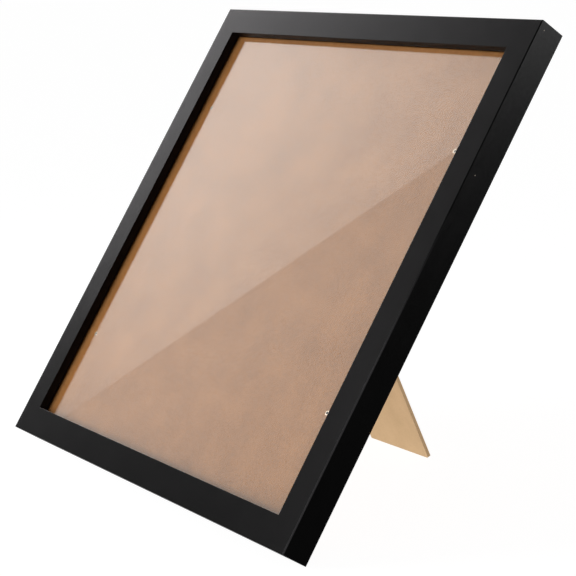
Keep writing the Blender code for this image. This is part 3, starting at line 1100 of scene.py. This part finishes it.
@dataclass
class Fixings:
    """Round fixings turned from a profile and set on their seats by one tree."""

    sides: int = 40
    hub_radius: float = 1e-6
    weld: float = 4e-6

    def tree(self) -> GeometryTree:
        """Write the tree that turns a profile and sets it on every seat.

        Returns:
            The tree.
        """
        tree = GeometryTree("turned fixings on their seats")
        profile = tree.size("Profile", SizeKind.OBJECT)
        sides = tree.size("Sides", SizeKind.COUNT)
        axis = tree.size("Axis", SizeKind.VECTOR)
        drawn = tree.add("GeometryNodeObjectInfo", {"Object": profile})
        outline = tree.add("GeometryNodeMeshToCurve", {"Mesh": drawn.outputs["Geometry"]})
        hub = {"Resolution": sides, "Radius": self.hub_radius}
        ring = tree.add("GeometryNodeCurvePrimitiveCircle", hub)
        ends = {"Curve": ring.outputs[0], "Profile Curve": outline.outputs[0]}
        turned = tree.add("GeometryNodeCurveToMesh", ends)
        inputs = {"Geometry": turned.outputs[0], "Distance": self.weld}
        closed = tree.add("GeometryNodeMergeByDistance", inputs)
        facing = tree.add("FunctionNodeAlignRotationToVector", {"Vector": axis}, axis="Z")
        seats = {
            "Points": tree.entry.outputs["Geometry"],
            "Instance": closed.outputs[0],
            "Rotation": facing.outputs[0],
        }
        tree.finish(tree.add("GeometryNodeInstanceOnPoints", seats).outputs[0])
        return tree

    def make(
        self, name: str, profile: Outline, seats: list[Vector], axis: Vector, finish: bpy.types.Material
    ) -> bpy.types.Mesh:
        """Turn a profile and set it on its seats.

        Args:
            name: the name of the mesh.
            profile: radius and level, from one end of the axis to the other.
            seats: where level 0 lies for each fixing.
            axis: the way in which the level rises.
            finish: the material.

        Returns:
            One mesh with all the fixings.
        """
        outline = [(radius, -level) for radius, level in profile]
        drawn = outline_mesh(f"{name} profile", outline, closed=False)
        carrier = add_object(drawn.name, drawn)
        points = bpy.data.meshes.new(f"{name} seats")
        points.from_pydata([tuple(seat) for seat in seats], [], [])
        sizes = {"Profile": carrier, "Sides": self.sides, "Axis": axis, "Finish": finish}
        mesh = self.tree().grow(name, points, sizes)
        bpy.data.objects.remove(carrier)
        return mesh


def domed_head(radius: float, seat: float, top: float) -> Outline:
    """Draw a low domed head from its rim on the seat to its middle at the top.

    Args:
        radius: the head's radius.
        seat: the level of its underside.
        top: the level of its highest point.

    Returns:
        Its points, radius and level.
    """
    rim = seat + HEAD_RIM_SHARE * (top - seat)
    points = [(radius - HEAD_EASE, seat), (radius, seat + HEAD_EASE)]
    for step in range(HEAD_FACETS):
        angle = math.radians(90 * step / HEAD_FACETS)
        points.append((radius * math.cos(angle), rim + (top - rim) * math.sin(angle)))
    return [*points, (0.0, top)]


def mirrored(profile: Outline, about: float) -> Outline:
    """Turn a profile end for end about a level."""
    return [(radius, 2 * about - level) for radius, level in reversed(profile)]


@dataclass
class BackPanel:
    """The hardboard back, its four turn buttons and the tubular rivets that hold them."""

    axes: Axes
    board_finish: bpy.types.Material
    steel: bpy.types.Material
    rivet_steel: bpy.types.Material
    half_width: float = 0.1524
    bottom: float = 0.0126
    front: float = 0.0078
    back: float = 0.0110
    rivet_hole: float = 0.00135
    rivet_x: float = 0.1360
    shank: float = 0.0012
    rim_tube: float = 0.0004
    bore_depth: float = 0.0022
    head_radius: float = 0.0030
    head_seat: float = 0.01235
    head_top: float = 0.0134
    shares: tuple[float, float, float, float] = (0.797, 0.221, 0.225, 0.769)
    rim_lift: float = 0.00012
    rim_step: float = 0.0001
    bore_ease: float = 0.0002
    sawn_radius: float = 0.00015
    button_radius: float = 0.0002
    drill_sides: int = 32
    drill_reach: float = 0.002

    def rivet_places(self) -> dict[Corner, tuple[float, float]]:
        """Find each rivet's place.

        Returns:
            How far across and up the frame each one lies.
        """
        signs = {Corner.UPPER_LEFT: -1, Corner.LOWER_LEFT: -1, Corner.LOWER_RIGHT: 1, Corner.UPPER_RIGHT: 1}
        tall = 2 * self.half_width
        return {
            corner: (signs[corner] * self.rivet_x, self.bottom + share * tall)
            for corner, share in zip(Corner, self.shares)
        }

    def build_board(self) -> None:
        """Build the board with eased edges and a hole for each rivet."""
        shape = bmesh.new()
        bmesh.ops.create_cube(shape, size=1)
        middle_depth = (self.front + self.back) / 2
        for corner in shape.verts:
            x = corner.co.x * 2 * self.half_width
            y = middle_depth + corner.co.y * (self.back - self.front)
            z = self.bottom + self.half_width + corner.co.z * 2 * self.half_width
            corner.co = self.axes.point(x, y, z)
        host = add_object("board blank", mesh_from(shape, "board blank"))
        drill = add_object("board drill", self.drill())
        cut = host.modifiers.new("rivet holes", "BOOLEAN")
        cut.object = drill
        cut.solver = "EXACT"
        ease_edges(host, self.sawn_radius, segments=2, angle=60)
        board = plain_mesh(host, "brown_back_board")
        bpy.data.objects.remove(drill)
        coat(board, self.board_finish)
        settle(board, ["backing_board"], Body.FRAME.value)

    def drill(self) -> bpy.types.Mesh:
        """Draw the four cylinders that drill the rivet holes.

        Returns:
            One mesh with all four.
        """
        shape = bmesh.new()
        for x, z in self.rivet_places().values():
            circle = arc((x, z), self.rivet_hole, 0, 360, self.drill_sides)[:-1]
            rings = []
            for depth in (self.front - self.drill_reach, self.back + self.drill_reach):
                rings.append([shape.verts.new(self.axes.point(a, depth, b)) for a, b in circle])
            bridge(shape, *rings, closed=True)
            shape.faces.new(rings[0])
            shape.faces.new(rings[1])
        bmesh.ops.recalc_face_normals(shape, faces=shape.faces)
        return mesh_from(shape, "board drill")

    def rivet_profile(self) -> Outline:
        """Draw a tubular rivet: bore, rolled rim, shank and domed head.

        Returns:
            Its points: radius, and depth from the frame's face.
        """
        bore = self.shank - self.rim_tube
        rim_level = self.front + self.rim_tube - self.rim_lift
        bottom = self.front + self.bore_depth
        return [
            (0.0, bottom),
            (bore - self.bore_ease, bottom),
            (bore, bottom - self.bore_ease),
            *arc((self.shank, rim_level), self.rim_tube, 180, 360, 10),
            (self.shank + self.rim_tube, rim_level + self.rim_step),
            (self.shank, rim_level + 2 * self.rim_step),
            (self.shank, self.head_seat),
            *domed_head(self.head_radius, self.head_seat, self.head_top),
        ]

    def build(self, fixings: Fixings) -> None:
        """Build the board, the rivets and the turn buttons.

        Args:
            fixings: turns and sets the rivets.
        """
        self.build_board()
        seats = [self.axes.point(x, 0, z) for x, z in self.rivet_places().values()]
        backward = self.axes.direction(0, 1, 0)
        profile = self.rivet_profile()
        rivets = fixings.make("clinched_button_rivets", profile, seats, backward, self.rivet_steel)
        replaced = [f"button_rivet_{corner.value}" for corner in Corner]
        settle(rivets, replaced, Body.FRAME.value)
        for corner in Corner:
            node = f"turn_button_{corner.value}"
            plate = eased_copy(node, f"pressed_button_{corner.value}", self.button_radius, self.steel)
            settle(plate, [node], f"button_{corner.value}")


@dataclass
class EaselHinge:
    """The hinge's two plates, its pin and the fixings that hold them."""

    axes: Axes
    leg: Axes
    steel: bpy.types.Material
    pin_radius: float = 0.0010
    pin_head: float = 0.0016
    pin_end: float = 0.0164
    pin_head_thickness: float = 0.0006
    pin_depth: float = 0.0148
    pin_height: float = 0.2150
    tack_radius: float = 0.0008
    tack_head: float = 0.0022
    tack_place: tuple[float, float] = (0.0106, 0.0105)
    tack_point: float = 0.0087
    tack_seat: float = 0.01212
    tack_top: float = 0.0130
    leg_rivet_radius: float = 0.0012
    leg_rivet_head: float = 0.0025
    leg_rivet_place: tuple[float, float] = (0.0095, -0.0132)
    leg_layers: tuple[float, float] = (-0.00152, 0.00212)
    leg_heads: tuple[float, float] = (-0.0024, 0.0030)
    plate_radius: float = 0.00015
    tack_taper: float = 0.0006

    def build(self, fixings: Fixings) -> None:
        """Build the plates, the pin, the tacks and the leg's rivets.

        Args:
            fixings: turns and sets the round pieces.
        """
        for node, name, body in (
            ("hinge_board_plate", "pressed_board_plate", Body.FRAME),
            ("hinge_leg_plate", "pressed_leg_plate", Body.LEG),
        ):
            plate = eased_copy(node, name, self.plate_radius, self.steel)
            settle(plate, [node], body.value)

        end = self.pin_end + self.pin_head_thickness
        far_head = [(self.pin_radius, self.pin_end), *domed_head(self.pin_head, self.pin_end, end)]
        pin = [*mirrored(far_head, 0.0), *far_head]
        seat = [self.axes.point(0, self.pin_depth, self.pin_height)]
        mesh = fixings.make("headed_hinge_pin", pin, seat, Vector((1, 0, 0)), self.steel)
        settle(mesh, ["hinge_pin"], Body.FRAME.value)

        across, above = self.tack_place
        seats = [self.axes.point(x, 0, self.pin_height + above) for x in (-across, across)]
        tack = [
            (0.0, self.tack_point),
            (self.tack_radius, self.tack_point + self.tack_taper),
            (self.tack_radius, self.tack_seat),
            *domed_head(self.tack_head, self.tack_seat, self.tack_top),
        ]
        mesh = fixings.make("board_plate_tacks", tack, seats, self.axes.direction(0, 1, 0), self.steel)
        settle(mesh, ["board_tack_left", "board_tack_right"], Body.FRAME.value)

        across, above = self.leg_rivet_place
        seats = [self.leg.point(x, 0, above) for x in (-across, across)]
        front, rear = self.leg_layers
        far_head = [(self.leg_rivet_radius, rear), *domed_head(self.leg_rivet_head, rear, self.leg_heads[1])]
        near_top = front - self.leg_heads[0]
        near = [(self.leg_rivet_radius, 0.0), *domed_head(self.leg_rivet_head, 0.0, near_top)]
        rivet = [*mirrored(near, front / 2), *far_head]
        mesh = fixings.make("leg_plate_rivets", rivet, seats, self.leg.direction(0, 1, 0), self.steel)
        settle(mesh, ["leg_rivet_left", "leg_rivet_right"], Body.LEG.value)


@dataclass
class EaselLeg:
    """The board leg, its cut edges eased."""

    finish: bpy.types.Material
    edge_radius: float = 0.00025

    def build(self) -> None:
        """Build the leg."""
        mesh = eased_copy("easel_leg", "eased_board_leg", self.edge_radius, self.finish)
        settle(mesh, ["easel_leg"], Body.LEG.value)


@dataclass
class Glazing:
    """The glass, whose CAD shape stays."""

    finish: bpy.types.Material

    def build(self) -> None:
        """Give the glass its finish."""
        pane = frame["nodes"]["glass_pane"]
        for slot in pane.material_slots:
            slot.material = self.finish
        LOG.info("glass_pane: the CAD shape, finished as %s", self.finish.name)


@dataclass(frozen=True)
class Glow:
    """One part of a panel's glow: its strength by azimuth, times its share by elevation, both in degrees."""

    by_azimuth: Outline
    by_elevation: Outline
    colour: Colour = (1.0, 1.0, 1.0)


@dataclass(frozen=True)
class CurvedPanel:
    """An upright glowing panel that bends round the object and shows only in its gloss."""

    name: str
    distance: float
    azimuths: tuple[float, float]
    elevations: tuple[float, float]
    glows: tuple[Glow, ...]
    facets: tuple[int, int] = (32, 8)

    def ramp(self, writer: NodeWriter, angle: object, stops: Outline) -> object:
        """Add straight slopes through stops of an angle and a strength, so that a steep one stays crisp.

        Args:
            writer: the material's nodes.
            angle: the angle in degrees.
            stops: angles in degrees and their strengths.

        Returns:
            The strength at that angle.
        """
        strength = stops[0][1]
        for (start, low), (end, high) in zip(stops, stops[1:]):
            gain = writer.spread(angle, (start, end), (0.0, high - low))
            strength = writer.math("ADD", gain, strength)
        return strength

    def material(self) -> bpy.types.Material:
        """Make the glow: a white of 1, and every part of the glow on top of it.

        Returns:
            The panel's material.
        """
        writer = GlowWriter(f"{self.name} glow")
        place = writer.add("ShaderNodeTexCoord").outputs["Object"]
        x, y, z = writer.add("ShaderNodeSeparateXYZ", {0: place}).outputs
        whole = writer.math("FLOORED_MODULO", writer.math("ARCTAN2", y, x), 2 * math.pi)
        azimuth = writer.math("DEGREES", whole)
        elevation = writer.math("DEGREES", writer.math("ARCTAN2", z, self.distance))
        total = writer.add("ShaderNodeEmission", {"Strength": 1.0}).outputs[0]
        for glow in self.glows:
            strength = self.ramp(writer, azimuth, glow.by_azimuth)
            share = self.ramp(writer, elevation, glow.by_elevation)
            part = writer.math("MULTIPLY", strength, share)
            shine = writer.add("ShaderNodeEmission", {"Color": (*glow.colour, 1), "Strength": part})
            total = writer.add("ShaderNodeAddShader", {0: total, 1: shine.outputs[0]}).outputs[0]
        return writer.show(total)

    def build(self) -> None:
        """Build the panel, seen only by glossy and transmission rays."""
        (first, last), (low, high) = self.azimuths, self.elevations
        wide, tall = self.facets
        shape = bmesh.new()
        columns = []
        for step in range(wide + 1):
            angle = math.radians(first + (last - first) * step / wide)
            column = []
            for row in range(tall + 1):
                height = self.distance * math.tan(math.radians(low + (high - low) * row / tall))
                place = (self.distance * math.cos(angle), self.distance * math.sin(angle), height)
                column.append(shape.verts.new(place))
            columns.append(column)
        for near, far in zip(columns, columns[1:]):
            bridge(shape, near, far, closed=False)
        mesh = mesh_from(shape, self.name)
        coat(mesh, self.material())
        panel = add_object(self.name, mesh)
        panel.visible_camera = False
        panel.visible_diffuse = False
        panel.visible_shadow = False


@dataclass
class Studio:
    """A white room with a pale floor, two glowing panels, two soft lamps and the camera."""

    ambient: float = 0.24
    floor_glow: float = 0.95
    floor_bounce: float = 1.0
    floor_colour: Colour = (0.18, 0.18, 0.18)
    floor_reach: float = 14.0
    key_power: float = 7.0
    key_place: tuple[float, float, float] = (-0.451, -0.967, 0.386)
    fill_power: float = 28.0
    fill_place: tuple[float, float, float] = (3.4, -2.4, 0.5)
    lamp_size: float = 0.6
    lamp_aim: tuple[float, float, float] = (0, 0, 0.12)
    camera_place: tuple[float, float, float] = (0.929804, -0.609508, 0.319372)
    camera_turn: tuple[float, float, float] = (1.39237963, 0.00411737, 0.98092382)
    camera_shift: tuple[float, float] = (-0.5 / PICTURE_SIZE, 0.5 / PICTURE_SIZE)
    lens: float = 112.3566

    def seen(self, writer: NodeWriter, rest: float, shown: float) -> bpy.types.NodeSocket:
        """Tell camera, glossy and transmission rays from the rest.

        Args:
            writer: the nodes of the world or of a material.
            rest: the strength for the rest.
            shown: the strength for those three.

        Returns:
            The strength for each ray.
        """
        rays = writer.add("ShaderNodeLightPath").outputs
        either = writer.math("MAXIMUM", rays["Is Camera Ray"], rays["Is Glossy Ray"])
        told = writer.math("MAXIMUM", either, rays["Is Transmission Ray"])
        return writer.spread(told, (0.0, 1.0), (rest, shown))

    def build_world(self) -> None:
        """Make the white surroundings, which light the object less than they show."""
        world = bpy.data.worlds.new("white room")
        bpy.context.scene.world = world
        world.use_nodes = True
        writer = NodeWriter(world.node_tree)
        background = world.node_tree.nodes["Background"]
        background.inputs["Color"].default_value = (1, 1, 1, 1)
        writer.plug(self.seen(writer, self.ambient, 1.0), background.inputs["Strength"])

    def build_floor(self) -> None:
        """Lay the pale floor, which keeps the object's shadow."""
        mesh = bpy.data.meshes.new("pale floor")
        reach = self.floor_reach
        corners = [(-reach, -reach, 0), (reach, -reach, 0), (reach, reach, 0), (-reach, reach, 0)]
        mesh.from_pydata(corners, [], [(0, 1, 2, 3)])
        writer = GlowWriter("pale floor")
        strength = self.seen(writer, self.floor_bounce, self.floor_glow)
        shine = writer.add("ShaderNodeEmission", {"Strength": strength})
        matt = writer.add("ShaderNodeBsdfDiffuse", {"Color": (*self.floor_colour, 1)})
        both = writer.add("ShaderNodeAddShader", {0: shine.outputs[0], 1: matt.outputs[0]})
        coat(mesh, writer.show(both.outputs[0]))
        add_object("pale floor", mesh)

    def build_panels(self) -> None:
        """Stand the two glowing panels: a wide one at the left, a narrow one behind at the right."""
        bell = (
            *((6, 0.10), (12, 0.36), (17, 1.06), (19.5, 1.50), (21.2, 1.07), (22.6, 0.89)),
            *((24.7, 0.55), (26.5, 0.43), (28, 0.80), (29.5, 0.73), (31.2, 0.73)),
            *((33, 0.63), (35, 0.49), (40, 0.17), (46, 0.03), (47, 0)),
        )
        high = (
            *((14, 0.0), (18, 0.15), (20, 0.164), (25, 0.4), (27, 0.85)),
            *((29, 1.0), (31, 0.75), (33, 0.125), (35, 0.0)),
        )
        cool = (1.0, 0.965, 0.985)
        veil = Glow(
            (
                *((160, 1.2), (198, 1.15), (201.5, 0.95), (204, 0.78)),
                *((205.17, 0.71), (205.23, 0.22), (207, 0.24), (209, 0.17), (218, 0)),
            ),
            (
                *((0.5, 0.2), (15, 0.2), (17, 0.38), (20, 0.73), (24, 1.0)),
                *((30, 0.95), (33.4, 0.78), (38, 0.5), (59, 0.3)),
            ),
        )
        lit = Glow(((160, 28.3), (180, 26.3), (190, 22.2), (196.4, 16.7), (196.6, 0)), bell, cool)
        edge = Glow(((213.7, 0), (213.9, 24), (222, 24), (223, 0)), high, cool)
        left = CurvedPanel("left panel", 10.0, (160, 236), (0.5, 60), (veil, lit, edge))
        rim = Glow(((28, 0), (34, 46), (52, 46)), ((0.3, 1.0), (8, 1.0), (11, 0)))
        right = CurvedPanel("right panel", 8.0, (28, 52), (0.3, 12), (rim,))
        for panel in (left, right):
            panel.build()
            LOG.info("%s stands at %.0f m", panel.name, panel.distance)

    def build_lamps(self) -> None:
        """Stand the two soft lamps: the key in front at the left, the fill at the right."""
        for name, power, place in (
            ("key", self.key_power, self.key_place),
            ("fill", self.fill_power, self.fill_place),
        ):
            lamp = bpy.data.lights.new(f"soft {name}", "AREA")
            lamp.energy = power
            lamp.size = self.lamp_size
            stand = add_object(f"soft {name}", lamp)
            stand.location = place
            aim = Vector(self.lamp_aim) - Vector(place)
            stand.rotation_euler = aim.to_track_quat("-Z", "Y").to_euler()
            stand.visible_camera = False

    def build_camera(self) -> None:
        """Set the camera where the photograph was taken from."""
        lens = bpy.data.cameras.new("portrait camera")
        lens.lens = self.lens
        lens.sensor_width = 36.0
        lens.sensor_fit = "HORIZONTAL"
        lens.clip_start = 0.01
        lens.shift_x, lens.shift_y = self.camera_shift
        camera = add_object("portrait camera", lens)
        camera.location = self.camera_place
        camera.rotation_euler = self.camera_turn
        bpy.context.scene.camera = camera

    def build(self) -> None:
        """Set up the room, the lamps and the camera."""
        bpy.context.scene.view_settings.view_transform = "Standard"
        self.build_world()
        self.build_floor()
        self.build_panels()
        self.build_lamps()
        self.build_camera()


def main() -> None:
    """Build every piece in order, then the studio."""
    logging.basicConfig(level=logging.INFO, format="%(name)s: %(message)s")
    upright = leaning_axes(glass_depth=0.00685)
    leg = leg_axes()
    foil = BlackFoil().make(upright)
    board = Hardboard().make(upright)
    tan = LegBoard().make(leg)
    zinc, nail, rivet = (
        SheetSteel(*steel).make(upright)
        for steel in (
            ("bright zinc plate", (0.56, 0.56, 0.545), (0.68, 0.68, 0.66), (0.26, 0.40)),
            ("dull spring steel", (0.33, 0.33, 0.34), (0.48, 0.48, 0.49), (0.36, 0.50)),
            ("dull rivet plate", (0.35, 0.28, 0.21), (0.47, 0.38, 0.29), (0.40, 0.50), (0.00808, 0.0119)),
        )
    )
    glass = ClearGlass().make(upright)
    fixings = Fixings()
    Moulding(upright, foil, nail).build()
    Glazing(glass).build()
    BackPanel(upright, board, zinc, rivet).build(fixings)
    EaselHinge(upright, leg, zinc).build(fixings)
    EaselLeg(tan).build()
    Studio().build()


if __name__ == "__main__":
    main()
